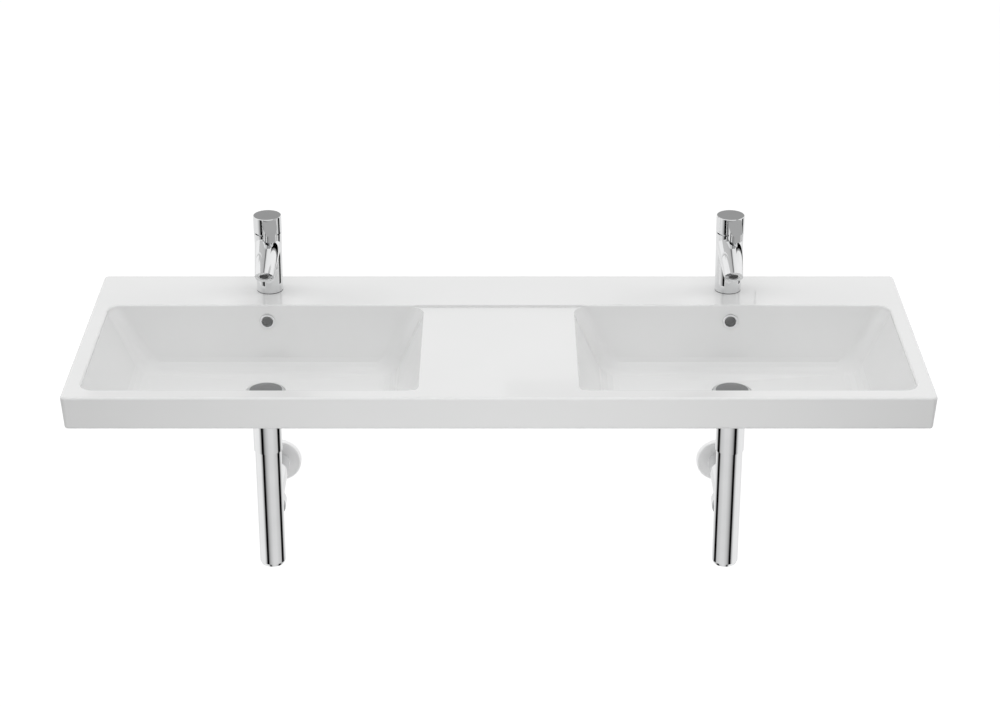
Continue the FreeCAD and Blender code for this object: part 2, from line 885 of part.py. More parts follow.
def make_nut(label, x, y, z, across_flats, height, bore):
    """A hexagon nut with a plain bore."""
    body = new_body(label, x, y, z)
    prism = body.newObject("PartDesign::AdditivePrism", "Hexagon")
    prism.Polygon = NUT_SIDES
    bind(prism, Circumradius=across_flats / 2 / cosine(NUT_HALF_SIDE), Height=height)
    body.Tip = prism
    add_cylinder(
        body, "Subtractive", "Bore", ZERO, ZERO, -at.cut_overrun, bore, height + at.cut_overrun * 2,
    )
    return body


def make_spring(label):
    """The spring that lifts the cap, as the sleeve that its coils fill."""
    half_wire = at.spring_wire / 2
    low = stem_disc_top + at.fit_gap
    high = cap_ceiling - at.fit_gap
    inner = at.spring_radius - half_wire
    return tap_piece(label, ring_corners(inner, at.spring_radius + half_wire, low, high))


def make_tap():
    """Every piece of the left tap, by the name it has without its side."""
    seal_inside = at.tap_hole / 2
    stem_foot = cartridge_top - at.stem_length
    post_top = cap_ceiling - at.cap_travel - at.running_gap
    cartridge_bore = at.stem_radius + at.shaft_gap
    bore_bottom = neck_top - at.cartridge_depth
    cartridge_corners = [
        (ZERO, bore_bottom),
        (at.cartridge_radius, bore_bottom),
        (at.cartridge_radius, neck_top),
        (at.tap_neck_radius, neck_top),
        (at.tap_neck_radius, cartridge_top),
        (cartridge_bore, cartridge_top),
        (cartridge_bore, stem_foot - at.running_gap),
        (ZERO, stem_foot - at.running_gap),
    ]
    stem_corners = [
        (ZERO, stem_foot),
        (at.stem_radius, stem_foot),
        (at.stem_radius, stem_disc_bottom),
        (at.stem_disc_radius, stem_disc_bottom),
        (at.stem_disc_radius, stem_disc_top),
        (at.stem_post_radius, stem_disc_top),
        (at.stem_post_radius, post_top),
        (ZERO, post_top),
    ]
    pieces = {
        "tap_body": make_tap_body(),
        "tap_cartridge": tap_piece("left_tap_cartridge", cartridge_corners),
        "tap_stem": tap_piece("left_tap_stem", stem_corners),
        "tap_spring": make_spring("left_tap_spring"),
    }
    seal = ring_corners(seal_inside, at.tap_foot_radius, ZERO, at.tap_seal_wall)
    pieces["tap_seal"] = turned_body("left_tap_seal", seal, bowl_x, tap_y, deck)

    inward = at.aerator_setback + at.aerator_depth
    aerator_y = tap_y - at.spout_reach + inward * cosine(at.spout_end_tilt)
    aerator_z = tap_foot + at.spout_end_height + inward * sine(at.spout_end_tilt)
    inner = at.aerator_radius - at.aerator_wall
    sleeve = ring_corners(inner, at.aerator_radius, ZERO, at.aerator_depth)
    insert = disc_corners(inner, ZERO, at.aerator_depth - at.aerator_setback)
    for name, corners in (("aerator_sleeve", sleeve), ("aerator_insert", insert)):
        piece = turned_body("left_" + name, corners, bowl_x, aerator_y, aerator_z)
        lean(piece, at.spout_end_tilt)
        pieces[name] = piece
    return pieces


def make_tap_fixing():
    """The stud, pads, plates and nuts that hold the taps, in nodes of two."""
    pad_bottom = deck_bottom - at.clamp_pad_wall
    plate_bottom = pad_bottom - at.clamp_plate_wall
    stud_y = tap_y + at.stud_offset
    stud_top = tap_foot + at.stud_bite
    stud = disc_corners(at.stud_thread / 2 - at.fit_gap, -at.stud_length, ZERO)
    nut_bottom = plate_bottom - at.nut_height
    bore = at.stud_thread / 2
    return {
        "tap_studs": turned_body("left_tap_stud", stud, bowl_x, stud_y, stud_top),
        "clamp_pads": make_clamp("left_clamp_pad", deck_bottom, at.clamp_pad_wall),
        "clamp_plates": make_clamp("left_clamp_plate", pad_bottom, at.clamp_plate_wall),
        "clamp_nuts": make_nut(
            "left_clamp_nut", bowl_x, stud_y, nut_bottom, at.nut_across_flats, at.nut_height, bore,
        ),
    }


# Wastes: each is modelled about the drain's axis, with Z = 0 at the top of its flange

waste_bottom = -at.waste_length
waste_bore = at.waste_radius - at.waste_wall
slot_bottom = boss_bottom + at.overflow_duct_wall - drain_top


def waste_piece(label, corners, z=ZERO):
    return turned_body(label, corners, bowl_x, drain_y, drain_top + z)


def make_waste_body():
    """The threaded waste with its flange, overflow slots and the bridge that guides the plug."""
    body = new_body("left_waste_body", bowl_x, drain_y, drain_top)
    flange_bevel_share = 0.35
    bevel = at.flange_wall * flange_bevel_share
    corners = [
        (at.flange_radius, -at.flange_wall),
        (at.flange_radius, -bevel),
        (at.flange_radius - bevel, ZERO),
        (at.waste_mouth_radius, ZERO),
        (waste_bore, -at.waste_mouth_depth),
        (waste_bore, waste_bottom),
        (at.waste_radius, waste_bottom),
        (at.waste_radius, -at.flange_wall),
    ]
    turn_profile(body, "Revolution", "Tube", corners)
    reach = at.waste_radius + at.cut_overrun
    half_way = at.overflow_duct_width / 2 - at.overflow_duct_wall
    slot_x = half_way / 2
    add_box(
        body, "Subtractive", "OverflowSlots",
        (-slot_x, slot_x), (-reach, reach), (slot_bottom, slot_bottom + at.waste_slot_height),
    )
    bridge_top = -at.plug_barrel_length / 2
    bridge_bottom = bridge_top - at.waste_bridge_height
    half_bar = at.waste_bridge_width / 2
    bar_end = waste_bore + at.waste_wall / 2
    # the bar stands across the slots, so that it meets whole wall
    add_box(body, "Additive", "Bar", (-bar_end, bar_end), (-half_bar, half_bar), (bridge_bottom, bridge_top))
    add_cylinder(
        body, "Additive", "Hub", ZERO, ZERO, bridge_bottom, at.waste_hub_radius, at.waste_bridge_height,
    )
    add_cylinder(
        body, "Subtractive", "HubBore", ZERO, ZERO, bridge_bottom - at.cut_overrun,
        at.plug_barrel_radius + at.shaft_gap, at.waste_bridge_height + at.cut_overrun * 2,
    )
    return body


def make_waste():
    seal_top = -at.flange_wall
    seal_bottom = seal_top - at.waste_seal_wall / 2
    around_tube = at.waste_radius + at.fit_gap
    under_boss = boss_bottom - drain_top
    nut_top = under_boss - at.waste_seal_wall
    plug_bottom = at.running_gap * 2
    plug_top = plug_bottom + at.plug_wall
    crown_radius_share = 0.6
    crown_drop_share = 0.25
    plug_corners = [
        (ZERO, plug_bottom),
        (at.plug_radius, plug_bottom),
        (at.plug_radius, plug_top - at.plug_crown),
        (at.plug_radius * crown_radius_share, plug_top - at.plug_crown * crown_drop_share),
        (ZERO, plug_top),
    ]
    seal_low = plug_bottom - at.plug_seal_wall
    barrel_low = plug_bottom - at.plug_barrel_length
    seal_ring = ring_corners(at.plug_barrel_radius + at.fit_gap, at.plug_seal_radius, seal_low, plug_bottom)
    upper_seal = ring_corners(around_tube, at.flange_radius, seal_bottom, seal_top)
    lower_seal = ring_corners(around_tube, at.drain_boss / 2 - at.waste_seal_wall, nut_top, under_boss)
    nut_z = drain_top + nut_top - at.waste_nut_height
    barrel = disc_corners(at.plug_barrel_radius, barrel_low, plug_bottom)
    pieces = {
        "waste_body": make_waste_body(),
        "plug_cap": waste_piece("left_plug_cap", plug_corners),
        "plug_seal": waste_piece("left_plug_seal", seal_ring),
        "plug_barrel": waste_piece("left_plug_barrel", barrel),
        "waste_nut": make_nut(
            "left_waste_nut", bowl_x, drain_y, nut_z, at.waste_nut_across, at.waste_nut_height, around_tube,
        ),
    }
    seals = {
        "upper_waste_seals": waste_piece("left_upper_waste_seal", upper_seal),
        "lower_waste_seals": waste_piece("left_lower_waste_seal", lower_seal),
        "overflow_covers": make_overflow_cover(),
    }
    return pieces, seals


def make_overflow_cover():
    """The sleeve that lines the overflow hole, with its lip against the bowl's back wall."""
    lowest = at.overflow_drop + at.overflow_cover_radius
    wall_y = bowl_back - at.floor_back_run * lowest / at.floor_drop
    barrel = at.overflow_hole / 2 - at.fit_gap
    bore = at.overflow_cover_bore
    lip = at.overflow_cover_lip
    corners = [
        (bore, -lip),
        (at.overflow_cover_radius - lip / 2, -lip),
        (at.overflow_cover_radius, -lip / 2),
        (at.overflow_cover_radius, ZERO),
        (barrel, ZERO),
        (barrel, at.overflow_cover_length),
        (bore, at.overflow_cover_length),
    ]
    return turned_body("left_overflow_cover", corners, bowl_x, wall_y, overflow_z, TO_WALL)


# Bottle traps: heights are drops below the deck

def below_deck(drop):
    return deck - drop


waste_end = drain_top - at.waste_length
head_bottom = below_deck(at.trap_head_drop)
dip_flange_top = waste_end - at.washer_wall
shoulder_top = dip_flange_top - at.dip_flange_wall
shoulder_bottom = head_bottom + at.trap_tube_lap
outlet_z = below_deck(at.outlet_drop)
trap_bottom = below_deck(at.trap_drop)
tube_bottom = trap_bottom + at.trap_cap_height
socket_reach = at.trap_tube_radius + at.outlet_socket_length
socket_end = drain_y + socket_reach


def trap_piece(label, corners):
    return turned_body(label, corners, bowl_x, drain_y)


def make_trap_tube():
    """The upright tube of the trap with the socket for its outlet pipe."""
    body = new_body("left_trap_tube", bowl_x, drain_y)
    turn_profile(body, "Revolution", "Tube", disc_corners(at.trap_tube_radius, tube_bottom, shoulder_bottom))
    add_cylinder(
        body, "Additive", "Socket", ZERO, ZERO, outlet_z,
        at.outlet_socket_radius, socket_reach, TO_WALL,
    )
    bore = at.trap_tube_radius - at.trap_tube_wall
    add_cylinder(
        body, "Subtractive", "Bore", ZERO, ZERO, tube_bottom - at.cut_overrun,
        bore, shoulder_bottom - tube_bottom + at.cut_overrun * 2,
    )
    add_cylinder(
        body, "Subtractive", "SocketBore", ZERO, ZERO, outlet_z,
        at.outlet_radius + at.fit_gap, socket_reach + at.cut_overrun, TO_WALL,
    )
    return body


def make_trap():
    head_top = head_bottom + at.trap_head_length
    thread = at.waste_radius + at.fit_gap
    tube_fit = at.trap_tube_radius + at.fit_gap
    dip_fit = at.dip_tube_radius + at.fit_gap
    head_corners = [
        (thread, head_top),
        (thread, shoulder_top),
        (dip_fit, shoulder_top),
        (dip_fit, shoulder_bottom),
        (tube_fit, shoulder_bottom),
        (tube_fit, head_bottom),
        (at.trap_head_radius, head_bottom),
        (at.trap_head_radius, head_top),
    ]
    dip_inside = at.dip_tube_radius - at.dip_tube_wall
    dip_corners = [
        (dip_inside, dip_flange_top),
        (dip_inside, below_deck(at.dip_tube_drop)),
        (at.dip_tube_radius, below_deck(at.dip_tube_drop)),
        (at.dip_tube_radius, shoulder_top),
        (at.waste_radius, shoulder_top),
        (at.waste_radius, dip_flange_top),
    ]
    cap_inside = at.trap_tube_radius - at.trap_tube_wall - at.fit_gap
    plug_inside = cap_inside - at.trap_tube_wall
    cap_corners = [
        (ZERO, trap_bottom),
        *round_corner(at.trap_tube_radius, trap_bottom, at.trap_cap_round),
        (at.trap_tube_radius, tube_bottom),
        (cap_inside, tube_bottom),
        (cap_inside, tube_bottom + at.trap_cap_plug),
        (plug_inside, tube_bottom + at.trap_cap_plug),
        (plug_inside, tube_bottom - at.trap_cap_height / 2),
        (ZERO, tube_bottom - at.trap_cap_height / 2),
    ]
    washer = ring_corners(dip_inside, at.waste_radius, dip_flange_top, waste_end)

    nut_fit = at.outlet_socket_radius + at.fit_gap
    pipe_fit = at.outlet_radius + at.running_gap
    nut_lap_share = 0.75
    nut_lap = at.outlet_socket_length * nut_lap_share
    nut_lip = at.outlet_nut_length - nut_lap
    nut_start = socket_end - nut_lap
    nut_corners = [
        (nut_fit, ZERO),
        (at.outlet_nut_radius, ZERO),
        (at.outlet_nut_radius, at.outlet_nut_length),
        (pipe_fit, at.outlet_nut_length),
        (pipe_fit, at.outlet_nut_length - nut_lip + at.washer_wall),
        (nut_fit, at.outlet_nut_length - nut_lip + at.washer_wall),
    ]
    seal_corners = ring_corners(at.outlet_radius + at.fit_gap, at.outlet_socket_radius, ZERO, at.washer_wall)
    pipe_start = drain_y + at.trap_tube_radius
    pipe_length = at.outlet_past_wall - pipe_start
    pipe_inside = at.outlet_radius - at.outlet_wall
    spigot_start = pipe_length - at.outlet_spigot_length
    pipe_corners = [
        (pipe_inside, ZERO),
        (at.outlet_radius, ZERO),
        (at.outlet_radius, spigot_start),
        (at.outlet_spigot_radius, spigot_start),
        (at.outlet_spigot_radius, pipe_length),
        (pipe_inside, pipe_length),
    ]
    rosette_bore = at.outlet_radius + at.running_gap
    rosette_corners = [
        (rosette_bore, ZERO),
        *round_corner(at.rosette_radius, ZERO, at.rosette_round),
        (at.rosette_radius, at.rosette_depth),
        (at.rosette_radius - at.rosette_wall, at.rosette_depth),
        (at.rosette_radius - at.rosette_wall, at.rosette_wall),
        (rosette_bore, at.rosette_wall),
    ]
    return {
        "trap_head": trap_piece("left_trap_head", head_corners),
        "trap_washer": trap_piece("left_trap_washer", washer),
        "dip_tube": trap_piece("left_dip_tube", dip_corners),
        "trap_tube": make_trap_tube(),
        "trap_cap": trap_piece("left_trap_cap", cap_corners),
        "outlet_nut": turned_body("left_outlet_nut", nut_corners, bowl_x, nut_start, outlet_z, TO_WALL),
        "outlet_seal": turned_body("left_outlet_seal", seal_corners, bowl_x, socket_end, outlet_z, TO_WALL),
        "outlet_pipe": turned_body("left_outlet_pipe", pipe_corners, bowl_x, pipe_start, outlet_z, TO_WALL),
        "rosette": turned_body("left_rosette", rosette_corners, bowl_x, -at.rosette_depth, outlet_z, TO_WALL),
    }


# The whole washbasin

def make_washbasin():
    """Builds every sub-part and gives them by label."""
    sided = {}
    nodes = [make_basin(), make_tap_cap("left_tap_cap", bowl_x), make_tap_cap("right_tap_cap", -bowl_x)]
    waste_pieces, paired = make_waste()
    sided.update(make_tap())
    sided.update(waste_pieces)
    sided.update(make_trap())
    paired.update(make_tap_fixing())
    for name, piece in sided.items():
        nodes.append(piece)
        nodes.append(mirrored_copy(piece, "right_" + name))
    for name, piece in paired.items():
        nodes.append(both_sides(name, piece))
    return {node.Label: node for node in nodes}


def check_document(nodes):
    """Stops the script where an object failed or a sub-part's shape is empty or not sound."""
    for item in doc.Objects:
        if "Invalid" in item.State or "Error" in item.State:
            raise RuntimeError(f"{item.Name} failed: {item.State}")
    for label, node in nodes.items():
        if node.Shape.isNull() or not node.Shape.isValid() or not node.Shape.Solids:
            raise RuntimeError(f"{label} has no sound solid")


nodes = make_washbasin()
doc.recompute()
check_document(nodes)
os.makedirs("parts", exist_ok=True)
for label, node in nodes.items():
    node.Shape.exportStep(f"parts/{label}.step")
print(len(nodes), "nodes written")
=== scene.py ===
import json
import math

import bpy
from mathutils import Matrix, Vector, geometry


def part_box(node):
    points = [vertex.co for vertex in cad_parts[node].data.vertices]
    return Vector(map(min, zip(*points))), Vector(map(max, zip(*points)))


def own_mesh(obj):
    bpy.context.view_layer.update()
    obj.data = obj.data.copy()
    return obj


# A double washbasin on a white ground, with its taps, wastes and bottle traps, in metres.

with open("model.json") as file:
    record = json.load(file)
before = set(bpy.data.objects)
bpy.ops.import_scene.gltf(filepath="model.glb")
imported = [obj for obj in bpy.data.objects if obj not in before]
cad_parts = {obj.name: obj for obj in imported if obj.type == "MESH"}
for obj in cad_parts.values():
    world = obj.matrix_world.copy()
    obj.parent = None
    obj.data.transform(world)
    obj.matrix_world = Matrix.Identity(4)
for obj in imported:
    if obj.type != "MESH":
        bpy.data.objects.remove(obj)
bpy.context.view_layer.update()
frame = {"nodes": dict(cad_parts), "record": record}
SIDES = {"left": -1, "right": 1}

# The photograph's camera, worked out from the edges of the slab
PHOTO_WIDTH = 1000
FOCAL_PIXELS = 2440.9
SENSOR_WIDTH = 36.0
CAMERA_PLACE = Vector((0.0018, -3.7128, 1.6419))
CAMERA_DOWN = math.radians(24.71)

# The floor, as far below the deck as in a washroom
MOUNTING_HEIGHT = 0.85
FLOOR_REACH = 12.0
FLOOR_TONE = 0.25
FLOOR_ROUGHNESS = 0.9

# How brightly the floor shows to the camera and in metal, and how brightly the world lights the object
FLOOR_GLOW = 0.85
MIRRORED_GLOW_SHARE = 0.8
WORLD_LIGHT = 0.5

# The shading of the basin: folds under the split angle are shaded as one surface
WELD_DISTANCE = 0.00002
SPLIT_ANGLE = math.radians(40.0)
SMOOTH_WEIGHT = 80

# Glowing cards round each waste tube, which paint the reflected bands in its chrome: tones by azimuth for
# the left one, mirrored for the right one
TUBE_CARD_RADIUS = 0.1
TUBE_CARD_HEIGHTS = (-0.75, -0.055)
TUBE_TONES = (
    (-140, 0.85), (-100, 0.98), (-64, 0.95), (-54, 0.72), (-48, 0.5), (-43, 0.16), (-41, 0.0),
    (-28, 0.0), (-24, 0.2), (-18, 0.42), (-6, 0.62), (12, 0.78), (40, 0.8), (60, 0.7),
    (74, 0.64), (81, 0.34), (84, 0.0), (105, 0.0), (110, 0.42), (124, 0.8), (140, 0.95),
)

# Glowing cards round each tap, which paint the reflected bands in its chrome, standing on the deck: a strip
# on either side and a wider card in front between them.
# They are close, because from farther away the deck hides them in the lower half of the tap.
TAP_CARD_GAP = 0.002
TAP_STRIP_RADIUS = 0.046
TAP_STRIP_HEIGHT = 0.14
TAP_LEFT_TONES = ((-70, 0.95), (-58, 0.75), (-48, 0.45), (-42, 0.14), (-40, 0.0), (-29, 0.0))
TAP_RIGHT_TONES = ((76, 0.5), (82, 0.3), (85, 0.0), (99, 0.0))
TAP_FRONT_RADIUS = 0.11
TAP_FRONT_HEIGHT = 0.28
TAP_FRONT_TONES = ((-29, 0.1), (-20, 0.24), (-8, 0.34), (14, 0.44), (50, 0.44), (66, 0.5), (76, 0.5))

# An upright glowing card behind each cap, which paints the grey reflection in the cap's flat top, a little
# toward the basin's end
CAP_CARD_TONE = 0.36
CAP_CARD_OFFSET = 0.0064
CAP_CARD_HALF_WIDTH = 0.036
CAP_CARD_BEHIND = 0.062
CAP_CARD_FOOT = 0.011
CAP_CARD_HEAD = 0.047

# A glowing card that leans over each tap, which paints the reflected bands in the spout: tones by place
# across, and how far each of its rows is behind and above the cap
SPOUT_TONES = ((-0.36, 0.62), (-0.1, 0.55), (0.0, 0.08), (0.05, 0.7), (0.12, 0.92), (0.36, 0.97))
SPOUT_CARD_ROWS = ((0.26, 0.15), (0.3, 0.5), (-0.05, 0.62))

BLACK = (0.0, 0.0, 0.0, 1.0)
WHITE = (1.0, 1.0, 1.0, 1.0)


# Node helpers

def new_material(name):
    material = bpy.data.materials.new(name)
    material.use_nodes = True
    nodes = material.node_tree.nodes
    return material, nodes, material.node_tree.links, nodes["Principled BSDF"]


def math_node(nodes, operation):
    node = nodes.new("ShaderNodeMath")
    node.operation = operation
    return node


def noise_of(nodes, links, scale, detail=3.0, stretch=None):
    """A noise in the object's own coordinates, in metres."""
    place = nodes.new("ShaderNodeTexCoord")
    noise = nodes.new("ShaderNodeTexNoise")
    noise.inputs["Scale"].default_value = scale
    noise.inputs["Detail"].default_value = detail
    source = place.outputs["Object"]
    if stretch:
        mapping = nodes.new("ShaderNodeMapping")
        mapping.inputs["Scale"].default_value = stretch
        links.new(source, mapping.inputs["Vector"])
        source = mapping.outputs["Vector"]
    links.new(source, noise.inputs["Vector"])
    return noise


def vary(nodes, links, noise, socket, low, high):
    """Lets a noise carry a value between two limits."""
    spread = nodes.new("ShaderNodeMapRange")
    spread.inputs["To Min"].default_value = low
    spread.inputs["To Max"].default_value = high
    links.new(noise.outputs["Fac"], spread.inputs["Value"])
    links.new(spread.outputs["Result"], socket)


def tint(nodes, links, noise, socket, dark, light):
    """Lets a noise carry a colour between two limits, over the middle of its range."""
    range_start, range_end = 0.3, 0.7
    ramp = nodes.new("ShaderNodeValToRGB")
    ramp.color_ramp.elements[0].position = range_start
    ramp.color_ramp.elements[1].position = range_end
    ramp.color_ramp.elements[0].color = (*dark, 1)
    ramp.color_ramp.elements[1].color = (*light, 1)
    links.new(noise.outputs["Fac"], ramp.inputs["Fac"])
    links.new(ramp.outputs["Color"], socket)


def bump(nodes, links, noise, shader, strength, distance):
    relief = nodes.new("ShaderNodeBump")
    relief.inputs["Strength"].default_value = strength
    relief.inputs["Distance"].default_value = distance
    links.new(noise.outputs["Fac"], relief.inputs["Height"])
    links.new(relief.outputs["Normal"], shader.inputs["Normal"])


# Materials

def make_glaze():
    """White fired glaze: a deep gloss with the faint waves of a poured coat."""
    dark, light = (0.82, 0.823, 0.821), (0.84, 0.842, 0.84)
    material, nodes, links, shader = new_material("glaze")
    cloud = noise_of(nodes, links, scale=5.0)
    tint(nodes, links, cloud, shader.inputs["Base Color"], dark, light)
    fine = noise_of(nodes, links, scale=55.0, detail=2.0)
    vary(nodes, links, fine, shader.inputs["Roughness"], low=0.13, high=0.19)
    waves = noise_of(nodes, links, scale=24.0, detail=2.0)
    bump(nodes, links, waves, shader, strength=0.02, distance=0.0006)
    shader.inputs["IOR"].default_value = 1.5
    shader.inputs["Coat Weight"].default_value = 0.4
    shader.inputs["Coat Roughness"].default_value = 0.04
    return material


def make_chrome(name, colour, roughness):
    """Polished plating with slight clouding and hairline wear."""
    clouded_share = 0.96
    smooth_share, worn_share = 0.8, 1.3
    material, nodes, links, shader = new_material(name)
    cloud = noise_of(nodes, links, scale=30.0)
    dark = tuple(part * clouded_share for part in colour)
    tint(nodes, links, cloud, shader.inputs["Base Color"], dark, colour)
    shader.inputs["Metallic"].default_value = 1.0
    hair = noise_of(nodes, links, scale=90.0, detail=4.0, stretch=(1.0, 1.0, 0.15))
    low, high = roughness * smooth_share, roughness * worn_share
    vary(nodes, links, hair, shader.inputs["Roughness"], low, high)
    return material


def make_brass():
    dark, light = (0.62, 0.46, 0.2), (0.72, 0.55, 0.27)
    material, nodes, links, shader = new_material("brass")
    cloud = noise_of(nodes, links, scale=60.0)
    tint(nodes, links, cloud, shader.inputs["Base Color"], dark, light)
    shader.inputs["Metallic"].default_value = 1.0
    fine = noise_of(nodes, links, scale=160.0)
    vary(nodes, links, fine, shader.inputs["Roughness"], low=0.25, high=0.4)
    return material


def make_steel():
    """Drawn and turned steel, with its lines along the height."""
    dark, light = (0.45, 0.46, 0.47), (0.6, 0.61, 0.62)
    material, nodes, links, shader = new_material("steel")
    lines = noise_of(nodes, links, scale=300.0, detail=4.0, stretch=(1.0, 1.0, 0.05))
    tint(nodes, links, lines, shader.inputs["Base Color"], dark, light)
    shader.inputs["Metallic"].default_value = 1.0
    vary(nodes, links, lines, shader.inputs["Roughness"], low=0.3, high=0.45)
    return material


def make_dull(name, dark, light, roughness, grain):
    """Rubber or moulded plastic with a fine grain."""
    smooth_share = 0.85
    material, nodes, links, shader = new_material(name)
    noise = noise_of(nodes, links, grain)
    tint(nodes, links, noise, shader.inputs["Base Color"], dark, light)
    vary(nodes, links, noise, shader.inputs["Roughness"], roughness * smooth_share, roughness)
    bump(nodes, links, noise, shader, strength=0.15, distance=0.0002)
    return material


MATERIALS = {
    "glaze": make_glaze(),
    "chrome": make_chrome("chrome", colour=(0.83, 0.835, 0.84), roughness=0.05),
    "steel": make_steel(),
    "brass": make_brass(),
    "rubber": make_dull(
        "rubber", dark=(0.015, 0.015, 0.016), light=(0.03, 0.03, 0.032), roughness=0.75, grain=400.0,
    ),
    "white_plastic": make_dull(
        "white_plastic", dark=(0.72, 0.72, 0.7), light=(0.78, 0.78, 0.76), roughness=0.45, grain=250.0,
    ),
    "dark_plastic": make_dull(
        "dark_plastic", dark=(0.03, 0.03, 0.03), light=(0.05, 0.05, 0.05), roughness=0.5, grain=350.0,
    ),
}

# Finishes that differ from the rest of their slot: a plug whose chrome is darkened as painted shade for
# where it sits, satin overflow rings and pale rosettes
# The plug is ordinary chrome; its dark base colour is painted shade.
PLUG_PAINTED_SHADE_CHROME = make_chrome("plug_chrome_painted_shade", colour=(0.3, 0.304, 0.308), roughness=0.14)
SATIN_CHROME = make_chrome("satin_chrome", colour=(0.84, 0.845, 0.85), roughness=0.42)
PALE_CHROME = make_chrome("pale_chrome", colour=(0.97, 0.972, 0.975), roughness=0.5)
OWN_FINISH = {"overflow_covers": SATIN_CHROME}
for side in SIDES:
    OWN_FINISH[f"{side}_plug_cap"] = PLUG_PAINTED_SHADE_CHROME
    OWN_FINISH[f"{side}_rosette"] = PALE_CHROME

for part in frame["record"]["subparts"]:
    node = frame["nodes"][part["node"]]
    node.data.materials.clear()
    node.data.materials.append(OWN_FINISH.get(part["node"], MATERIALS[part["material_slot"]]))


def soften(node):
    """Shades the shallow folds between a solid's faces as one surface, and keeps its sharp edges."""
    weld = node.modifiers.new("weld", "WELD")
    weld.merge_threshold = WELD_DISTANCE
    split = node.modifiers.new("split", "EDGE_SPLIT")
    split.split_angle = SPLIT_ANGLE
    split.use_edge_sharp = False
    smooth = node.modifiers.new("smooth", "WEIGHTED_NORMAL")
    smooth.mode = "FACE_AREA"
    smooth.weight = SMOOTH_WEIGHT
    smooth.keep_sharp = True


soften(frame["nodes"]["basin"])

# Each tap's spring gets its own copy of its mesh
for side in SIDES:
    spring = frame["nodes"][f"{side}_tap_spring"]
    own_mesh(spring)


# Stage

class CardStand:
    """A group of glowing cards near the object: one-sided sheets that only show in reflections, where they
    paint bands into the chrome.
    """

    def __init__(self):
        self.corners, self.faces, self.levels = [], [], []

    def add(self, corners, faces, levels, toward):
        """Adds a card that faces a point, with a tone for each corner."""
        first = [Vector(corners[place]) for place in faces[0]]
        if geometry.normal(first).dot(toward - first[0]) < 0:
            faces = [tuple(reversed(face)) for face in faces]
        start = len(self.corners)
        self.corners += corners
        self.levels += levels
        self.faces += [tuple(start + place for place in face) for face in faces]

    def add_curved(self, axis, radius, heights, tones, sign=1):
        """Adds a card bent round an upright axis. Its tones go by azimuth, from the front toward +X."""
        corners, levels, faces = [], [], []
        for azimuth, level in tones:
            turn = math.radians(sign * azimuth)
            x = axis.x + radius * math.sin(turn)
            y = axis.y - radius * math.cos(turn)
            corners += [(x, y, height) for height in heights]
            levels += [level, level]
        for step in range(0, len(corners) - 2, 2):
            faces.append((step, step + 1, step + 3, step + 2))
        self.add(corners, faces, levels, Vector((axis.x, axis.y, heights[0])))

    def build(self, name, material):
        mesh = bpy.data.meshes.new(name)
        mesh.from_pydata(self.corners, [], self.faces)
        tones = mesh.attributes.new("level", "FLOAT", "POINT")
        tones.data.foreach_set("value", self.levels)
        sheet = bpy.data.objects.new(name, mesh)
        bpy.context.scene.collection.objects.link(sheet)
        mesh.materials.append(material)
        sheet.visible_camera = False
        sheet.visible_diffuse = False
        sheet.visible_shadow = False
        sheet.visible_transmission = False


def make_card_material():
    """A card that glows with the tone of its corners, whatever light falls on it, and has no back; it paints
    reflections into the chrome.
    """
    material, nodes, links, shader = new_material("card")
    shader.inputs["Base Color"].default_value = BLACK
    shader.inputs["Roughness"].default_value = 1.0
    shader.inputs["Specular IOR Level"].default_value = 0.0
    shader.inputs["Emission Color"].default_value = WHITE
    tone = nodes.new("ShaderNodeAttribute")
    tone.attribute_name = "level"
    links.new(tone.outputs["Fac"], shader.inputs["Emission Strength"])
    sides = nodes.new("ShaderNodeNewGeometry")
    front = math_node(nodes, "SUBTRACT")
    front.inputs[0].default_value = 1.0
    links.new(sides.outputs["Backfacing"], front.inputs[1])
    links.new(front.outputs["Value"], shader.inputs["Alpha"])
    return material


def axis_of(node):
    low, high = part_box(node)
    return (low + high) / 2


def make_tube_cards(side, sign, material):
    tube = axis_of(f"{side}_trap_cap")
    stand = CardStand()
    stand.add_curved(tube, TUBE_CARD_RADIUS, TUBE_CARD_HEIGHTS, TUBE_TONES, -sign)
    stand.build(f"{side}_tube_cards", material)


def make_tap_cards(side, material):
    tap = axis_of(f"{side}_tap_stem")
    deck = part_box("basin")[1].z
    foot = deck + TAP_CARD_GAP
    stand = CardStand()
    for tones in (TAP_LEFT_TONES, TAP_RIGHT_TONES):
        stand.add_curved(tap, TAP_STRIP_RADIUS, (foot, deck + TAP_STRIP_HEIGHT), tones)
    stand.add_curved(tap, TAP_FRONT_RADIUS, (foot, deck + TAP_FRONT_HEIGHT), TAP_FRONT_TONES)
    stand.build(f"{side}_tap_cards", material)


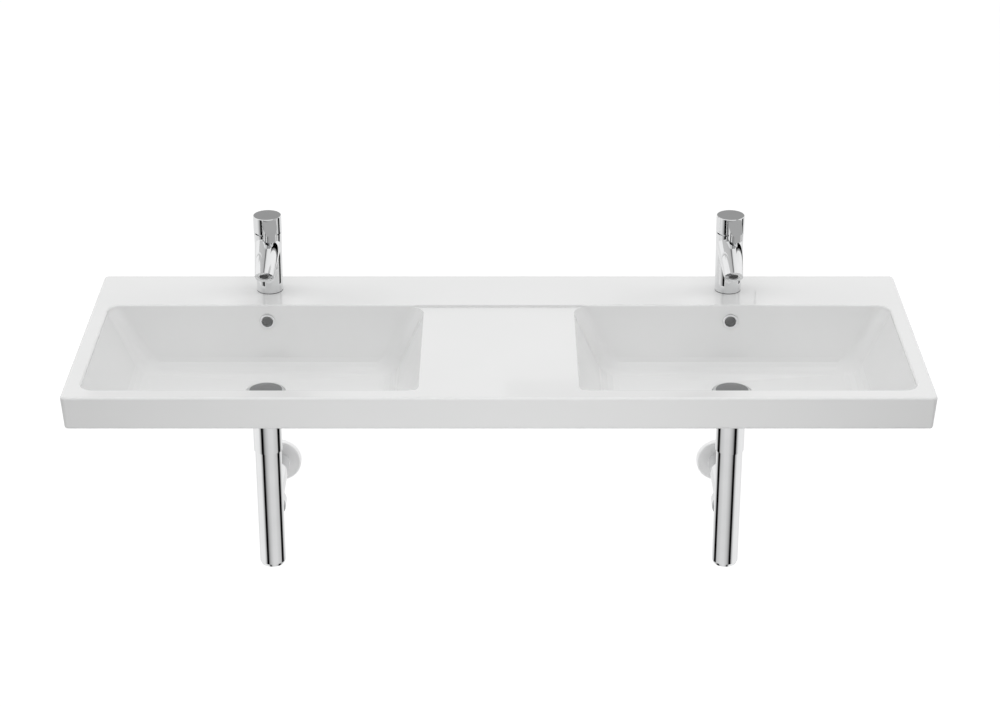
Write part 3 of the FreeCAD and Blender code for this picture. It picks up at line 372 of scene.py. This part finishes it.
def make_top_cards(side, sign, material):
    tap = axis_of(f"{side}_tap_stem")
    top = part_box(f"{side}_tap_cap")[1].z
    cap_top = Vector((tap.x, tap.y, top))
    stand = CardStand()

    centre = tap.x + sign * CAP_CARD_OFFSET
    left, right = centre - CAP_CARD_HALF_WIDTH, centre + CAP_CARD_HALF_WIDTH
    foot, head = top + CAP_CARD_FOOT, top + CAP_CARD_HEAD
    back = tap.y + CAP_CARD_BEHIND
    corners = [(left, back, foot), (right, back, foot), (right, back, head), (left, back, head)]
    stand.add(corners, [(0, 1, 2, 3)], [CAP_CARD_TONE] * len(corners), cap_top)

    corners, levels, faces = [], [], []
    rows = len(SPOUT_CARD_ROWS)
    for across, level in SPOUT_TONES:
        corners += [(tap.x + across, tap.y + behind, top + above) for behind, above in SPOUT_CARD_ROWS]
        levels += [level] * rows
    for column in range(0, len(corners) - rows, rows):
        for step in range(column, column + rows - 1):
            faces.append((step, step + rows, step + rows + 1, step + 1))
    stand.add(corners, faces, levels, cap_top)
    stand.build(f"{side}_top_cards", material)


def make_cards():
    """Glowing black, grey and white cards round the taps and tubes, which paint the bands in the chrome as
    reflections.
    """
    material = make_card_material()
    for side, sign in SIDES.items():
        make_tube_cards(side, sign, material)
        make_tap_cards(side, material)
        make_top_cards(side, sign, material)


def make_floor():
    """A floor below the basin, which glows by itself to the camera and a little less in metal."""
    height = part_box("basin")[1].z - MOUNTING_HEIGHT
    mesh = bpy.data.meshes.new("floor")
    corners = [
        (-FLOOR_REACH, -FLOOR_REACH, height), (FLOOR_REACH, -FLOOR_REACH, height),
        (FLOOR_REACH, FLOOR_REACH, height), (-FLOOR_REACH, FLOOR_REACH, height),
    ]
    mesh.from_pydata(corners, [], [(0, 1, 2, 3)])
    floor = bpy.data.objects.new("floor", mesh)
    bpy.context.scene.collection.objects.link(floor)
    material, nodes, links, shader = new_material("floor_white")
    shader.inputs["Base Color"].default_value = (FLOOR_TONE, FLOOR_TONE, FLOOR_TONE, 1.0)
    shader.inputs["Roughness"].default_value = FLOOR_ROUGHNESS
    shader.inputs["Emission Color"].default_value = WHITE
    rays = nodes.new("ShaderNodeLightPath")
    mirrored = math_node(nodes, "MULTIPLY")
    mirrored.inputs[1].default_value = MIRRORED_GLOW_SHARE
    links.new(rays.outputs["Is Glossy Ray"], mirrored.inputs[0])
    seen = math_node(nodes, "MAXIMUM")
    links.new(rays.outputs["Is Camera Ray"], seen.inputs[0])
    links.new(mirrored.outputs["Value"], seen.inputs[1])
    glow = math_node(nodes, "MULTIPLY")
    glow.inputs[1].default_value = FLOOR_GLOW
    links.new(seen.outputs["Value"], glow.inputs[0])
    links.new(glow.outputs["Value"], shader.inputs["Emission Strength"])
    mesh.materials.append(material)


def make_world():
    """A white surround: at full strength to the camera, in reflections and through what is clear, and
    softer as a light."""
    world = bpy.data.worlds.new("white_surround")
    bpy.context.scene.world = world
    world.use_nodes = True
    nodes, links = world.node_tree.nodes, world.node_tree.links
    background = nodes["Background"]
    background.inputs["Color"].default_value = WHITE
    rays = nodes.new("ShaderNodeLightPath")
    seen = math_node(nodes, "MAXIMUM")
    links.new(rays.outputs["Is Camera Ray"], seen.inputs[0])
    links.new(rays.outputs["Is Glossy Ray"], seen.inputs[1])
    also = math_node(nodes, "MAXIMUM")
    links.new(seen.outputs["Value"], also.inputs[0])
    links.new(rays.outputs["Is Transmission Ray"], also.inputs[1])
    level = nodes.new("ShaderNodeMapRange")
    level.inputs["To Min"].default_value = WORLD_LIGHT
    level.inputs["To Max"].default_value = 1.0
    links.new(also.outputs["Value"], level.inputs["Value"])
    links.new(level.outputs["Result"], background.inputs["Strength"])


def make_lamp(name, place, target, size, watts):
    """A soft rectangular lamp that lights the object and doesn't show in the chrome."""
    light = bpy.data.lights.new(name, "AREA")
    light.shape = "RECTANGLE"
    light.size, light.size_y = size
    light.energy = watts
    lamp = bpy.data.objects.new(name, light)
    bpy.context.scene.collection.objects.link(lamp)
    lamp.location = place
    lamp.rotation_euler = (Vector(target) - Vector(place)).to_track_quat("-Z", "Y").to_euler()
    lamp.visible_glossy = False


def make_lamps():
    above_bowls = (0.0, -0.25, 0.0)
    make_lamp("overhead", place=(0.0, -0.45, 2.6), target=above_bowls, size=(3.0, 2.0), watts=21.0)
    make_lamp("front_high", place=(0.0, -3.3, 2.3), target=above_bowls, size=(2.4, 1.2), watts=21.0)
    for sign in SIDES.values():
        beside = (sign * 2.8, 0.35, 1.5)
        make_lamp(f"side_{sign}", place=beside, target=(0.0, -0.3, 0.0), size=(1.2, 1.2), watts=14.0)
    make_lamp("front_low", place=(0.0, -1.35, -0.3), target=(0.0, -0.465, 0.05), size=(0.7, 0.25), watts=3.5)


def make_camera():
    data = bpy.data.cameras.new("camera")
    data.sensor_width = SENSOR_WIDTH
    data.lens = FOCAL_PIXELS / PHOTO_WIDTH * SENSOR_WIDTH
    camera = bpy.data.objects.new("camera", data)
    bpy.context.scene.collection.objects.link(camera)
    camera.location = CAMERA_PLACE
    camera.rotation_euler = (math.pi / 2 - CAMERA_DOWN, 0.0, 0.0)
    bpy.context.scene.camera = camera


make_world()
make_floor()
make_cards()
make_lamps()
make_camera()
bpy.context.scene.view_settings.view_transform = "Standard"
